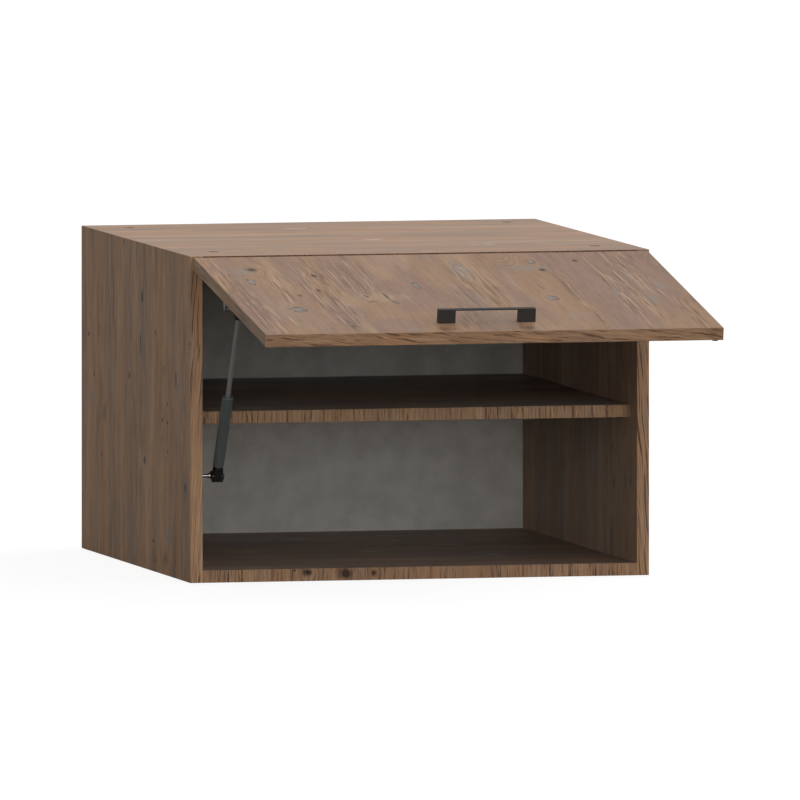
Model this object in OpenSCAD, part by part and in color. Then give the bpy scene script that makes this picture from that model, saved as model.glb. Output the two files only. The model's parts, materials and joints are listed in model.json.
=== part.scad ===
// Wall cabinet with one lift-up flap, shown with the flap open.
// X runs right, Y runs to the wall and Z runs up. The origin is the bottom edge of the
// back panel's rear face, in the middle of the width.

/* [Carcass] */
// Outside width of the cabinet
cab_w = 600; // [500:1:900]
// Outside height of the cabinet
cab_h = 416; // [396:1:460]
// Depth of the side panels, without the back panel
cab_d = 624; // [400:1:700]
// Thickness of the sides, the top, the bottom and the shelf
board_t = 16; // [15:0.5:19]
// Thickness of the back panel
back_t = 3; // [2.5:0.1:5]
// Strip of carcass left bare round the back panel, at the sides and the top
back_reveal = 1; // [0:0.1:3]
// Thickness of the edging glued to the front edges and round the flap
edging_t = 1; // [0.6:0.1:2]
// Chamfer along the outer corners of the edging
edging_arris = 0.4; // [0.1:0.1:0.5]

/* [Shelf] */
// Distance from the cabinet's top to the shelf's upper face
shelf_drop = 200; // [150:1:240]
// Distance from the carcass's front to the shelf's front edge
shelf_recess = 32; // [32:1:60]
// Gap at each end of the shelf and behind it
shelf_gap = 0.5; // [0.2:0.1:1]
// Diameter of the shelf pins
pin_d = 5; // [4:0.5:6]
// How far a shelf pin stands out of the side
pin_reach = 8; // [6:0.5:12]
// How far a shelf pin goes into the side
pin_seat = 8; // [6:0.5:9]
// Distance from the shelf's front and rear edges to its pins
pin_inset = 50; // [30:1:90]

/* [Cam joints] */
// Diameter of a cam
cam_d = 15; // [12:0.5:15]
// Depth of a cam in its board
cam_depth = 12.7; // [12:0.1:13]
// Distance from the board's end to the cam's centre
cam_reach = 34; // [24:1:40]
// Distance from the carcass's front to the front cams
cam_front = 86; // [60:1:110]
// Distance from the carcass's rear edge to the rear cams
cam_rear = 57; // [40:1:90]
// Diameter of the cam bolt's stem
bolt_d = 7; // [6:0.5:7]
// Diameter of the cam bolt's threaded end
bolt_thread_d = 5; // [4:0.5:5]
// Depth of the cam bolt's thread in the side
bolt_thread_l = 11; // [9:0.5:12]
// Diameter of a dowel
dowel_d = 8; // [6:0.5:8]
// Length of a dowel
dowel_l = 30; // [25:1:35]
// How far a dowel goes into the side
dowel_seat = 11; // [9:0.5:12]
// Distance from a cam bolt to the dowel beside it
dowel_pitch = 32; // [25:1:40]

/* [Flap] */
// Thickness of the flap
flap_t = 16; // [16:0.5:19]
// Gap between the flap's end and the cabinet's outer side
flap_side_gap = 3; // [1:0.5:5]
// Distance from the cabinet's top to the closed flap's upper edge
flap_top_gap = 2; // [2:0.1:3]
// Distance from the cabinet's underside to the closed flap's lower edge
flap_bottom_gap = 2; // [0:0.5:5]
// Gap between the carcass's front and the closed flap
flap_front_gap = 3.5; // [3.5:0.1:5]
// Angle by which the flap stands open
flap_open = 80; // [70:1:84]
// Distance from the closed flap's inner face to the hinge pin, into the flap
pivot_depth = 8.5; // [8:0.1:9]
// Distance from the flap's upper edge to the hinge pin
pivot_edge = 8; // [7.6:0.1:8.2]
// Diameter of a bumper
bumper_d = 8; // [6:0.5:10]
// Thickness of a bumper
bumper_t = 3.2; // [2:0.1:3.2]
// Distance from the flap's lower edge to the bumpers
bumper_up = 12; // [8:1:30]

/* [Hinges] */
// Distance from the flap's end to a hinge
hinge_inset = 90; // [80:1:140]
// Diameter of the hinge cup
cup_d = 35; // [35:0.5:36]
// Depth of the hinge cup
cup_depth = 13; // [12.6:0.1:13.4]
// Wall of the hinge cup
cup_wall = 1; // [0.8:0.1:1.2]
// Distance from the flap's upper edge to the cup's centre
cup_edge = 21; // [20.6:0.1:21.4]
// Thickness of the cup's flange
cup_flange_t = 1; // [0.8:0.1:1.2]
// Diameter of the hinge pin
hinge_pin_d = 2; // [1.8:0.1:2.2]
// Outside diameter of the arm's eye
hinge_eye_d = 4.6; // [4.2:0.1:4.6]
// Width of the hinge arm
arm_w = 10; // [8:0.5:10]
// Thickness of the hinge arm
arm_t = 2; // [1.6:0.1:2.2]
// Length of the hinge arm behind the carcass's front
arm_l = 58; // [50:1:80]
// Thickness of the hinge plate's spine
plate_t = 4; // [3.6:0.1:4.4]
// Distance from the carcass's front to the plate's screws
plate_back = 37; // [34:1:50]
// Distance between the plate's screws
plate_pitch = 32; // [28:1:36]

/* [Gas strut] */
// Distance from the cabinet's outer side to the strut's axis
strut_inset = 39.6; // [37:0.1:60]
// Distance from the carcass's front to the lower ball
ball_back = 21.6; // [19:0.1:22.5]
// Distance from the cabinet's top to the lower ball
ball_drop = 281; // [270:1:300]
// Distance from the flap's upper edge to the upper ball
ball_along = 112; // [100:1:116]
// Distance from the flap's inner face to the upper ball
ball_off = 23; // [18:0.5:24]
// Diameter of the balls
ball_d = 10; // [8:0.5:10]
// Distance from a ball to the end of its socket's neck
neck_l = 15; // [14:0.5:18]
// Diameter of the tube
tube_d = 14; // [13:0.5:15]
// Wall of the tube
tube_wall = 1.2; // [1:0.1:1.5]
// Diameter of the rod
rod_d = 6; // [5:0.5:7]
// Thickness of the piston
piston_t = 4; // [3:0.5:6]
// Length of the rod's seal
seal_l = 5; // [4:0.5:8]
// Width of a ball socket
socket_w = 16.2; // [15:0.1:17]
// Depth of a ball socket from front to back
socket_d = 12.4; // [11.5:0.1:13]
// Distance from a ball to its socket's closed end
socket_cap = 7; // [6.5:0.1:7.5]
// Thickness of the strut's two steel brackets
bracket_t = 2; // [1.5:0.1:2.5]

/* [Handle] */
// Overall length of the handle
handle_l = 126; // [110:1:180]
// Length of each foot
foot_l = 22; // [16:1:26]
// Width of the handle
handle_w = 9; // [8:0.5:12]
// Distance from the flap's face to the handle's outer side
handle_h = 17.6; // [15:0.1:30]
// Thickness of the handle's bar
bar_t = 1.4; // [1.2:0.1:3]
// Distance from the flap's lower edge to the handle's middle
handle_up = 50; // [30:1:90]
// Chamfer on the handle's edges
handle_arris = 0.5; // [0.3:0.1:0.6]

/* [Wall hangers] */
// Width of a hanger housing, off the side
hanger_w = 16; // [14:0.5:20]
// Depth of a hanger housing
hanger_d = 58; // [50:1:70]
// Height of a hanger housing
hanger_h = 46; // [40:1:56]
// Gap between the top board and a hanger housing
hanger_drop = 5; // [1:0.5:12]
// Thickness of a hook
hook_t = 3; // [2.5:0.1:4]
// Height of a hook
hook_h = 18; // [14:0.5:20]
// How far a hook stands out behind the back panel
hook_out = 9; // [8:0.5:14]
// Width of the slot that takes the edge of the wall rail
hook_slot = 3.2; // [2:0.1:4]
// Room round a hook in the back panel and in its housing
hook_room = 3; // [1.5:0.5:4]

/* [Hidden] */
// Radial clearance of a piece in its own bore
fit = 0.05;
// Radial clearance of the balls in their sockets and of the piston in its tube
slack = 0.08;
// Gap left at the open pivot and on both sides of a hook
free = 0.3;
// Overrun of a cut past the face it opens
cut = 1;
// Sides of the round pieces
fn_big = 72;
fn_small = 32;

front_y = -(cab_d + back_t);
inner_x = cab_w / 2 - board_t;
under_top = cab_h - board_t;
bolt_z = [board_t / 2, cab_h - board_t / 2];
cam_y = [front_y + cam_front, -back_t - cam_rear];
dowel_y = [cam_y[0] + dowel_pitch, cam_y[1] - dowel_pitch];
shelf_top = cab_h - shelf_drop;
shelf_low = shelf_top - board_t;
shelf_front = front_y + shelf_recess;
shelf_rear = -back_t - shelf_gap;
pin_y = [shelf_front + pin_inset, shelf_rear - pin_inset];
pin_z = shelf_low - pin_d / 2 - fit;

flap_w = cab_w - 2 * flap_side_gap;
flap_h = cab_h - flap_top_gap - flap_bottom_gap;
flap_in_y = front_y - flap_front_gap;
flap_top_z = cab_h - flap_top_gap;
pivot_y = flap_in_y - pivot_depth;
pivot_z = flap_top_z - pivot_edge;
hinge_x = flap_w / 2 - hinge_inset;
bumper_x = inner_x + bumper_d / 2 + 1;

// Places of the strut's two balls as [y, z], the upper one with the flap open and closed
function turned(p, a) = [p[0] * cos(a) - p[1] * sin(a), p[0] * sin(a) + p[1] * cos(a)];
low_ball = [front_y + ball_back, cab_h - ball_drop];
shut_ball = [flap_in_y + ball_off, flap_top_z - ball_along];
pivot = [pivot_y, pivot_z];
open_ball = pivot + turned(shut_ball - pivot, -flap_open);
strut_x = strut_inset - cab_w / 2;
strut_l = norm(open_ball - low_ball);
strut_shut_l = norm(shut_ball - low_ball);
strut_tilt = atan2(low_ball[0] - open_ball[0], open_ball[1] - low_ball[1]);
stroke = strut_l - strut_shut_l;

// The tube holds the stroke, the piston and the seal
tube_floor = 3;
tube_lip = 1.2;
tube_bevel = 1;
rod_room = 0.8;
piston_end_gap = 1;
seal_gap = 2.3;
tube_l = tube_floor + piston_end_gap + stroke + piston_t + seal_gap + seal_l + tube_lip;
tube_bore_d = tube_d - 2 * tube_wall;
piston_z = neck_l + tube_floor + piston_end_gap + stroke;
thread_l = 6;
thread_end_gap = 0.5;

screw_head_d = 7;
screw_d = 3.5;
screw_l = 12;
screw_crown = 0.8;
cross_share = 0.55;
cross_w = 0.8;
nail_d = 3;
nail_head_d = 6;
nail_l = 16;
handle_screw_d = 4;
handle_screw_grip = 9;
cam_pocket = 2;
cam_cross_w = 1.8;
cam_cross_depth = 1.8;
bolt_neck_share = 0.6;
bolt_head_t = 2;
hanger_x = inner_x - hanger_w / 2;
hanger_top = under_top - hanger_drop;
hook_z = hanger_top - hanger_h / 2 - hook_h / 2;
hook_slot_y = 0.8;
hook_slot_h = 9.9;
hook_nose = 3;
hook_nose_low = 2;
hook_reach = 40;
hanger_grip = 2;
hanger_screw_edge = 7;
hanger_screw_back = 11.5;
adjuster_d = 6;
adjuster_l = 5;
adjuster_cross = 0.6;
adjuster_cross_w = 0.9;
back_screw_inset = 42;
handle_foot_x = handle_l / 2 - foot_l / 2;
hanger_screw_y = -back_t - hook_reach - hanger_screw_back;
hanger_screw_z = [hanger_top - hanger_screw_edge, hanger_top - hanger_h + hanger_screw_edge];
adjuster_z = [hook_z - adjuster_d / 2 - 1, hook_z + hook_h + adjuster_d / 2 + 1];

// Hinge plate, arm and cup screws
plate_wing_t = plate_t / 2;
plate_wing_end = 7;
plate_wing_half = 8;
plate_front = 3;
arm_screw_d = 4;
arm_screw_front = 20;
arm_screw_rear = 8;
arm_screw_y = [front_y + arm_screw_front, front_y + arm_l - arm_screw_rear];
cup_screw_x = 22.5;
cup_screw_down = 9.5;
cup_flange_past = 1;
cup_wing_end = 5.5;
cup_wing_half = 5;
ear_gap = 0.8;
ear_low = 3;
ear_deep = 2.4;
pin_past = 3.5;

// Strut fixings: the collar of a ball stud, the screws and the leg of the flap bracket
collar_d = 7.6;
collar_back = 10;
stud_d = 5;
strut_screw_pitch = 36;
side_plate_w = 15;
strut_screw_z = [low_ball[1] - strut_screw_pitch / 2, low_ball[1] + strut_screw_pitch / 2];
flap_leg_x = -inner_x + 3;
flap_bracket_l = 32;
flap_bracket_past = 6;
flap_leg_w = 22;
flap_leg_end_d = 7;
flap_screw_x = strut_x - 2;
flap_screw_pitch = 20;
flap_screw_down = [ball_along - flap_screw_pitch / 2, ball_along + flap_screw_pitch / 2];

// Ball socket: its outline seen from the front, the cone open to the stud, ribs and flutes
socket_corner = 2;
socket_waist = 1.5;
socket_shoulder = 4.4;
socket_bevel = 0.8;
socket_bevel_h = 1;
socket_draw_open = 1.4;
socket_draw_shut = 1;
mouth_wall = 2;
mouth_out_d = ball_d - 0.6;
mouth_in_d = ball_d - 2.6;
rib_count = 3;
rib_pitch = 2.4;
rib_top = 1;
rib_w = 1;
rib_cut = 1.4;
rib_side = 1.6;
rib_short = 3;
neck_start = 2;
neck_low_d = socket_w - 0.6;
neck_high_d = tube_d - 1.6;
flute_step = 30;
flute_rake = 9;
flute_cut = 1.6;
flute_w = 1.1;
flute_short = 6;
flute_off = 0.3;

board_color = "#8a6c54";
edge_color = "#9a7a5c";
steel_color = "#b8b8b6";
black_color = "#2a2827";

// A round bar along X, along Y or along Z between two values of that axis
module bar_x(d, low, high, sides = fn_small)
    translate([low, 0, 0]) rotate([0, 90, 0]) cylinder(d = d, h = high - low, $fn = sides);

module bar_y(d, low, high, sides = fn_small)
    translate([0, high, 0]) rotate([90, 0, 0]) cylinder(d = d, h = high - low, $fn = sides);

module bar_z(d, low, high, sides = fn_small)
    translate([0, 0, low]) cylinder(d = d, h = high - low, $fn = sides);

// A box between two corners
module block(low, high)
    translate(low) cube(high - low);

// Both hands of a piece that is drawn for the right
module both_hands()
    for (hand = [0, 1]) mirror([hand, 0, 0]) children();

// Carries a piece drawn on the closed flap to where the flap stands
module on_open_flap()
    translate([0, pivot_y, pivot_z]) rotate([-flap_open, 0, 0])
        translate([0, -pivot_y, -pivot_z]) children();

// A place on the closed flap's inner face, a distance down from its upper edge; +Y leaves it
module flap_spot(x, down)
    translate([x, flap_in_y, flap_top_z - down]) children();

// The strut's own frame: the lower ball at its origin and the rod along Z
module on_strut()
    translate([strut_x, low_ball[0], low_ball[1]]) rotate([strut_tilt, 0, 0]) children();

// Profile of an edging strip, its glued side along Y = 0
module edging_profile(width)
    polygon([[-width / 2, 0], [width / 2, 0], [width / 2, -edging_t + edging_arris],
        [width / 2 - edging_arris, -edging_t], [-width / 2 + edging_arris, -edging_t],
        [-width / 2, -edging_t + edging_arris]]);

// Countersunk screw with its head flush at Z = 0 and its shank running down
module flat_screw(d, head_d, l) {
    rake = (head_d - d) / 2;
    translate([0, 0, -rake]) cylinder(d1 = d, d2 = head_d, h = rake, $fn = fn_small);
    bar_z(d, -l, -rake);
}

// Hole for a countersunk screw, open above Z = 0
module flat_screw_hole(d, head_d, l) {
    flat_screw(d, head_d, l);
    bar_z(head_d, 0, cut);
}

// Pan-headed screw standing on Z = 0
module pan_screw(d, head_d, head_t, l)
    difference() {
        union() {
            translate([0, 0, head_t / 2]) cylinder(d1 = head_d, d2 = head_d * screw_crown,
                h = head_t / 2, $fn = fn_small);
            bar_z(head_d, 0, head_t / 2);
            bar_z(d, -l, 0);
        }
        for (turn = [0, 90]) rotate([0, 0, turn])
            translate([0, 0, head_t]) cube([head_d * cross_share, cross_w, head_t], center = true);
    }

// Holes that the cam bolts and dowels need in the inner face of the right side
module side_borings()
    for (z = bolt_z) {
        for (y = cam_y) translate([0, y, z])
            bar_x(bolt_thread_d, inner_x - cut, inner_x + bolt_thread_l + cut / 2);
        for (y = dowel_y) translate([0, y, z])
            bar_x(dowel_d, inner_x - cut, inner_x + dowel_seat + cut / 2);
    }

// Pilot holes for the back panel's screws
module back_pilots()
    for (spot = back_spots()) translate([spot[0], 0, spot[1]])
        bar_y(nail_d, -back_t - nail_l, -back_t + cut);

// Places of the back panel's screws as [x, z], in the middle of the edges behind it
function back_spots() = [
    for (side = [-1, 1], z = [back_screw_inset, cab_h / 2, cab_h - back_screw_inset])
        [side * (cab_w - board_t) / 2, z],
    for (z = bolt_z, x = [-1, 0, 1]) [x * (inner_x / 2 + back_screw_inset), z]];

module right_side()
    difference() {
        block([inner_x, front_y + edging_t, 0], [cab_w / 2, -back_t, cab_h]);
        side_borings();
        for (y = pin_y) translate([0, y, pin_z])
            bar_x(pin_d, inner_x - cut, inner_x + pin_seat + cut);
        for (z = hanger_screw_z) translate([0, hanger_screw_y, z])
            bar_x(screw_d, inner_x - cut, inner_x + screw_l - hanger_grip);
        back_pilots();
    }

module side_left()
    color(board_color) difference() {
        mirror([1, 0, 0]) right_side();
        for (z = strut_screw_z) translate([0, low_ball[0], z])
            bar_x(screw_d, -inner_x - screw_l + bracket_t, -inner_x + cut);
    }

module side_right()
    color(board_color) right_side();

// Edging of the right side, along its front edge
module right_side_edging()
    translate([inner_x + board_t / 2, front_y + edging_t, 0])
        linear_extrude(cab_h) edging_profile(board_t);

module side_left_edging()
    color(edge_color) mirror([1, 0, 0]) right_side_edging();

module side_right_edging()
    color(edge_color) right_side_edging();

// A board between the sides with its end borings, its cam holes open above or below
module jointed_board(z, cams_up)
    difference() {
        block([-inner_x, front_y + edging_t, z], [inner_x, -back_t, z + board_t]);
        both_hands() {
            for (y = cam_y) {
                translate([inner_x - cam_reach, y, z])
                    bar_z(cam_d, cams_up ? board_t - cam_depth : -cut,
                        cams_up ? board_t + cut : cam_depth, fn_big);
                translate([0, y, z + board_t / 2])
                    bar_x(bolt_d + 2 * fit, inner_x - cam_reach, inner_x + cut);
            }
            for (y = dowel_y) translate([0, y, z + board_t / 2])
                bar_x(dowel_d, inner_x - dowel_l + dowel_seat - cut, inner_x + cut);
        }
        back_pilots();
    }

module top_panel()
    color(board_color) difference() {
        jointed_board(under_top, true);
        both_hands() for (side = [-1, 1])
            translate([hinge_x + side * plate_pitch / 2, front_y + plate_back, 0])
                bar_z(screw_d, under_top - cut, under_top + screw_l - plate_wing_t);
    }

module bottom_panel()
    color(board_color) jointed_board(0, false);

// Edging of a board between the sides
module board_edging(z, half, y)
    color(edge_color) translate([-half, y + edging_t, z + board_t / 2])
        rotate([0, 90, 0]) linear_extrude(2 * half) edging_profile(board_t);

module top_edging() board_edging(under_top, inner_x, front_y);

module bottom_edging() board_edging(0, inner_x, front_y);

module shelf_edging() board_edging(shelf_low, inner_x - shelf_gap, shelf_front);

module shelf()
    color(board_color) block([-inner_x + shelf_gap, shelf_front + edging_t, shelf_low],
        [inner_x - shelf_gap, shelf_rear, shelf_top]);

module back_panel()
    color("#8d8a84") difference() {
        block([-cab_w / 2 + back_reveal, -back_t, 0],
            [cab_w / 2 - back_reveal, 0, cab_h - back_reveal]);
        for (spot = back_spots()) translate([spot[0], 0, spot[1]]) rotate([-90, 0, 0])
            flat_screw_hole(nail_d + 2 * fit, nail_head_d + 2 * fit, back_t + cut);
        both_hands() block([hanger_x - hook_t / 2 - hook_room, -back_t - cut, hook_z - hook_room],
            [hanger_x + hook_t / 2 + hook_room, cut, hook_z + hook_h + hook_room]);
    }

module back_screws()
    color(steel_color) for (spot = back_spots()) translate([spot[0], 0, spot[1]])
        rotate([-90, 0, 0]) flat_screw(nail_d - 2 * fit, nail_head_d - 2 * fit, nail_l);

// One cam with its cross slot up and a pocket for the bolt's head, which comes from +X
module cam()
    difference() {
        bar_z(cam_d - 2 * fit, board_t - cam_depth + fit, board_t, fn_big);
        translate([0, 0, board_t / 2]) bar_x(bolt_d + 4 * fit, -cam_pocket, cam_d);
        for (turn = [0, 90]) rotate([0, 0, turn])
            translate([0, 0, board_t])
                cube([cam_d * cross_share, cam_cross_w, 2 * cam_cross_depth], center = true);
    }

module cam_set()
    both_hands() for (y = cam_y) translate([inner_x - cam_reach, y, 0]) cam();

module top_cams()
    color("#3b332d") translate([0, 0, under_top]) cam_set();

module bottom_cams()
    color("#3b332d") translate([0, 0, board_t]) mirror([0, 0, 1]) cam_set();

module cam_bolts()
    color(steel_color) both_hands() for (y = cam_y, z = bolt_z) translate([0, y, z]) {
        bar_x(bolt_thread_d - 2 * fit, inner_x, inner_x + bolt_thread_l);
        bar_x(bolt_d, inner_x - cam_reach + cam_d / 4, inner_x);
        bar_x(bolt_d * bolt_neck_share, inner_x - cam_reach + bolt_head_t / 2,
            inner_x - cam_reach + cam_d / 4);
        bar_x(bolt_d, inner_x - cam_reach - bolt_head_t / 2, inner_x - cam_reach + bolt_head_t / 2);
    }

module dowels()
    color("#c9a877") both_hands() for (y = dowel_y, z = bolt_z) translate([0, y, z])
        bar_x(dowel_d - 2 * fit, inner_x - dowel_l + dowel_seat, inner_x + dowel_seat);

module shelf_pins()
    color(steel_color) both_hands() for (y = pin_y) translate([0, y, pin_z])
        bar_x(pin_d - 2 * fit, inner_x - pin_reach, inner_x + pin_seat);

// Housings with a channel for the hook, two fixing holes and two adjusting screw holes
module hanger_housings()
    color("#cfcdc8") both_hands() difference() {
        block([inner_x - hanger_w, -back_t - hanger_d, hanger_top - hanger_h],
            [inner_x, -back_t, hanger_top]);
        block([hanger_x - hook_t / 2 - free, -back_t - hook_reach - cut, hook_z - hook_room],
            [hanger_x + hook_t / 2 + free, cut, hook_z + hook_h + hook_room]);
        for (z = hanger_screw_z) translate([0, hanger_screw_y, z]) {
            bar_x(screw_head_d + 2 * fit, inner_x - hanger_w - cut, inner_x - hanger_grip);
            bar_x(screw_d + 2 * fit, inner_x - hanger_w, inner_x + cut);
        }
        for (z = adjuster_z) translate([hanger_x, 0, z])
            bar_y(adjuster_d + 2 * fit, -back_t - hanger_d - cut,
                -back_t - hanger_d + adjuster_l);
    }

module hanger_adjusters()
    color(steel_color) both_hands() for (z = adjuster_z)
        translate([hanger_x, -back_t - hanger_d, z]) difference() {
            bar_y(adjuster_d, -1, adjuster_l);
            for (turn = [0, 90]) rotate([0, turn, 0])
                translate([0, -1, 0])
                    cube([adjuster_d * adjuster_cross, 2, adjuster_cross_w], center = true);
        }

// Hook plate: the wall rail's edge goes up into its slot, just behind the back panel
module hanger_hooks()
    color(steel_color) both_hands() translate([hanger_x + hook_t / 2, 0, hook_z])
        rotate([0, -90, 0]) linear_extrude(hook_t)
            polygon([[0, -back_t - hook_reach], [hook_h, -back_t - hook_reach],
                [hook_h, hook_out - hook_nose], [hook_h - hook_nose, hook_out],
                [hook_nose_low, hook_out], [0, hook_out - hook_nose_low],
                [0, hook_slot_y + hook_slot], [hook_slot_h, hook_slot_y + hook_slot],
                [hook_slot_h, hook_slot_y], [0, hook_slot_y]]);

module hanger_screws()
    color(steel_color) both_hands() for (z = hanger_screw_z)
        translate([inner_x - hanger_grip, hanger_screw_y, z]) rotate([0, -90, 0])
            pan_screw(screw_d - 2 * fit, screw_head_d - 2 * fit, 2, screw_l - 2);

// Hinge plate under the top board: a cross bar for the screws and a spine for the arm
module hinge_plates()
    color(steel_color) both_hands() translate([hinge_x, front_y + plate_back, under_top])
        difference() {
            union() {
                block([-plate_pitch / 2 - plate_wing_end, -plate_wing_half, -plate_wing_t],
                    [plate_pitch / 2 + plate_wing_end, plate_wing_half, 0]);
                block([-arm_w / 2, -plate_back + plate_front, -plate_t],
                    [arm_w / 2, arm_l - plate_back, 0]);
            }
            for (side = [-1, 1]) translate([side * plate_pitch / 2, 0, -plate_wing_t])
                mirror([0, 0, 1])
                    flat_screw_hole(screw_d + 2 * fit, screw_head_d + 2 * fit, plate_t);
            for (y = arm_screw_y) translate([0, y - front_y - plate_back, 0])
                bar_z(arm_screw_d, -plate_t - cut, 0);
        }

module hinge_plate_screws()
    color(steel_color) both_hands() for (side = [-1, 1])
        translate([hinge_x + side * plate_pitch / 2, front_y + plate_back,
            under_top - plate_wing_t]) mirror([0, 0, 1])
                flat_screw(screw_d - 2 * fit, screw_head_d - 2 * fit, screw_l);

// Cranked arm: flat under its plate, out past the carcass and up to its eye in the cup
module hinge_arms()
    color(steel_color) both_hands() translate([hinge_x, 0, 0]) difference() {
        union() {
            block([-arm_w / 2, pivot_y - arm_t / 2, under_top - plate_t - arm_t],
                [arm_w / 2, front_y + arm_l, under_top - plate_t]);
            block([-arm_w / 2, pivot_y - arm_t / 2, under_top - plate_t - arm_t],
                [arm_w / 2, pivot_y + arm_t / 2, pivot_z]);
            translate([0, pivot_y, pivot_z]) bar_x(hinge_eye_d, -arm_w / 2, arm_w / 2, fn_big);
        }
        translate([0, pivot_y, pivot_z])
            bar_x(hinge_pin_d + 2 * fit, -arm_w, arm_w, fn_big);
        for (y = arm_screw_y) translate([0, y, 0])
            bar_z(arm_screw_d, under_top - plate_t - arm_t - cut, under_top);
    }

module hinge_arm_screws()
    color(steel_color) both_hands() for (y = arm_screw_y)
        translate([hinge_x, y, under_top - plate_t - arm_t]) mirror([0, 0, 1])
            pan_screw(arm_screw_d - 2 * fit, 6.5, 1.8, arm_t + plate_t - 0.5);

// Steel plate on the left side that carries the strut's lower ball
module strut_side_plate()
    color(steel_color) difference() {
        union() {
            for (z = strut_screw_z) translate([-inner_x, low_ball[0], z])
                bar_x(side_plate_w, 0, bracket_t, fn_big);
            block([-inner_x, low_ball[0] - side_plate_w / 2, strut_screw_z[0]],
                [-inner_x + bracket_t, low_ball[0] + side_plate_w / 2, strut_screw_z[1]]);
        }
        for (z = strut_screw_z) translate([-inner_x, low_ball[0], z])
            bar_x(screw_d + 2 * fit, -cut, bracket_t + cut);
    }

module strut_side_screws()
    color(steel_color) for (z = strut_screw_z)
        translate([-inner_x + bracket_t, low_ball[0], z]) rotate([0, 90, 0])
            pan_screw(screw_d - 2 * fit, screw_head_d, 2, screw_l);

// Ball stud turned round X: it starts at a plate and its ball is on the strut's axis
module ball_stud(start)
    rotate([0, 90, 0]) rotate_extrude($fn = fn_big) intersection() {
        union() {
            translate([0, start]) square([stud_d / 2, -start]);
            translate([0, -collar_back]) circle(d = collar_d, $fn = fn_small);
            circle(d = ball_d, $fn = fn_small);
        }
        translate([0, start]) square([ball_d, ball_d - start]);
    }

module strut_lower_stud()
    color(steel_color) translate([strut_x, low_ball[0], low_ball[1]])
        ball_stud(-inner_x + bracket_t - strut_x);

// Flap body
module flap_panel()
    color("#a07c60") on_open_flap() difference() {
        block([-flap_w / 2 + edging_t, flap_in_y - flap_t, flap_top_z - flap_h + edging_t],
            [flap_w / 2 - edging_t, flap_in_y, flap_top_z - edging_t]);
        both_hands() flap_spot(hinge_x, cup_edge) {
            bar_y(cup_d, -cup_depth, cut, fn_big);
            for (side = [-1, 1]) translate([side * cup_screw_x, 0, -cup_screw_down])
                bar_y(screw_d, -screw_l + cup_flange_t, cut);
        }
        both_hands() flap_spot(handle_foot_x, flap_h - handle_up)
            bar_y(handle_screw_d + 1, -flap_t - cut, cut);
        for (down = flap_screw_down) flap_spot(flap_screw_x, down)
            bar_y(screw_d, -screw_l + bracket_t, cut);
    }

module flap_side_edging()
    color(edge_color) on_open_flap() both_hands()
        translate([flap_w / 2 - edging_t, flap_in_y - flap_t / 2, flap_top_z - flap_h])
            rotate([0, 0, 90]) linear_extrude(flap_h) edging_profile(flap_t);

module flap_long_edging()
    color(edge_color) on_open_flap() for (end = [0, 1])
        translate([0, flap_in_y - flap_t / 2, flap_top_z - flap_h / 2]) rotate([180 * end, 0, 0])
            translate([-flap_w / 2 + edging_t, 0, -flap_h / 2 + edging_t])
                rotate([90, 0, 90]) linear_extrude(flap_w - 2 * edging_t)
                    edging_profile(flap_t);

// Hinge cup: a deep steel pot, two ears that hold the pin, and a flange with two wings
module hinge_cups()
    color(steel_color) on_open_flap() both_hands() flap_spot(hinge_x, cup_edge) {
        difference() {
            union() {
                bar_y(cup_d - 2 * fit, -cup_depth + fit, 0, fn_big);
                bar_y(cup_d + 2 * cup_flange_past, 0, cup_flange_t, fn_big);
                block([-cup_screw_x - cup_wing_end, 0, -cup_screw_down - cup_wing_half],
                    [cup_screw_x + cup_wing_end, cup_flange_t, -cup_screw_down + cup_wing_half]);
            }
            bar_y(cup_d - 2 * fit - 2 * cup_wall, -cup_depth + cup_wall, cut * 2, fn_big);
            for (side = [-1, 1]) translate([side * cup_screw_x, 0, -cup_screw_down])
                bar_y(screw_d + 2 * fit, -screw_l, cup_flange_t + cut);
        }
        cup_ears();
    }

// Ears on both sides of the arm, trimmed to the inside of the pot
module cup_ears()
    intersection() {
        bar_y(cup_d - cup_wall, -cup_depth + cup_wall / 2, 0, fn_big);
        both_hands() difference() {
            block([arm_w / 2 + ear_gap, -cup_depth, cup_edge - pivot_edge - ear_low],
                [cup_d / 2, -pivot_depth + ear_deep, cup_edge]);
            translate([0, -pivot_depth, cup_edge - pivot_edge])
                bar_x(hinge_pin_d, 0, arm_w, fn_big);
        }
    }

module hinge_pins()
    color(steel_color) on_open_flap() both_hands() translate([hinge_x, pivot_y, pivot_z])
        bar_x(hinge_pin_d - 2 * fit, -arm_w / 2 - pin_past, arm_w / 2 + pin_past, fn_big);

module hinge_cup_screws()
    color(steel_color) on_open_flap() both_hands() flap_spot(hinge_x, cup_edge)
        for (side = [-1, 1])
            translate([side * cup_screw_x, cup_flange_t, -cup_screw_down])
                rotate([-90, 0, 0]) pan_screw(screw_d - 2 * fit, screw_head_d, 1.6, screw_l);

// Angle bracket on the flap: its leg stands beside the upper ball
module strut_flap_bracket()
    color("#c4c4c2") on_open_flap() flap_spot(flap_leg_x, ball_along) difference() {
        union() {
            block([0, 0, -flap_bracket_l / 2],
                [strut_x - flap_leg_x + flap_bracket_past, bracket_t, flap_bracket_l / 2]);
            hull() {
                block([0, 0, -flap_leg_w / 2], [bracket_t, 1, flap_leg_w / 2]);
                translate([0, ball_off, 0]) bar_x(flap_leg_end_d, 0, bracket_t);
            }
        }
        for (down = flap_screw_down) translate([flap_screw_x - flap_leg_x, 0,
            ball_along - down]) bar_y(screw_d + 2 * fit, -cut, bracket_t + cut);
    }

module strut_flap_screws()
    color(steel_color) on_open_flap() for (down = flap_screw_down)
        flap_spot(flap_screw_x, down) translate([0, bracket_t, 0]) rotate([-90, 0, 0])
            pan_screw(screw_d - 2 * fit, screw_head_d, 1.8, screw_l);

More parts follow.
